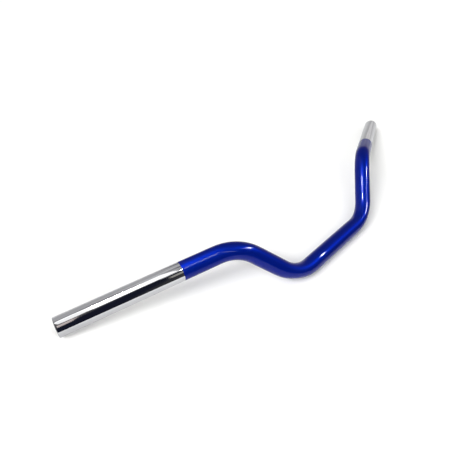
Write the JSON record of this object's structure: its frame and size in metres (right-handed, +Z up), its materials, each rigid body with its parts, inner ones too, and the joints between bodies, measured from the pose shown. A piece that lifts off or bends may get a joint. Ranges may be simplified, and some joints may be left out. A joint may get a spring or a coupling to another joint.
{
  "type": "moped handlebar",
  "caption": "Bent steel handlebar: chrome-plated tube with bare straight grip ends, risers and a clamp run under a glossy blue lacquer coat.",
  "frame": {"origin": "middle of the clamp run, on the tube's axis", "axes": "+X along the clamp run to the rider's right hand, -Y towards the rider, +Z up as the bar lies on a flat surface on its clamp run and its two cut ends"},
  "size_m": [0.7082, 0.1476, 0.0655],
  "materials": {
    "chrome": "polished",
    "blue_lacquer": "gloss"
  },
  "bodies": {
    "root": {"handlebar_tube": "chrome", "blue_coat": "blue_lacquer"}
  },
  "joints": []
}
